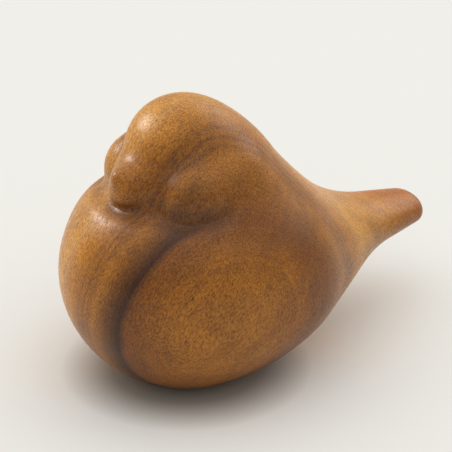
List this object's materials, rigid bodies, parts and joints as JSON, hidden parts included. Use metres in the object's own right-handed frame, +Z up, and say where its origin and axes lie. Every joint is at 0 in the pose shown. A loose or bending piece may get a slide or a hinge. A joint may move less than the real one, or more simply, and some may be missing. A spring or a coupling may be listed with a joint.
{
  "type": "ocarina",
  "caption": "Carved wooden bird vessel flute: hollow body, tail mouthpiece with a glued windway block, finger holes underneath and a base plug with a flat to rest on.",
  "frame": {"origin": "on the floor in the middle of the belly's flat, below the centre of the round body", "axes": "+Z up, -Y towards the beak, +Y towards the tail mouthpiece, +X towards the bird's left side"},
  "size_m": [0.0644, 0.1102, 0.0729],
  "materials": {
    "body_wood": "warm brown hardwood with darker growth bands, sanded smooth, oiled to a satin sheen",
    "plug_wood": "the same hardwood cut across the grain, sanded and oiled",
    "block_wood": "the same hardwood cut along the grain, sanded and lightly oiled"
  },
  "bodies": {
    "root": {"body": "body_wood", "base_plug": "plug_wood", "windway_block": "block_wood"}
  },
  "joints": []
}
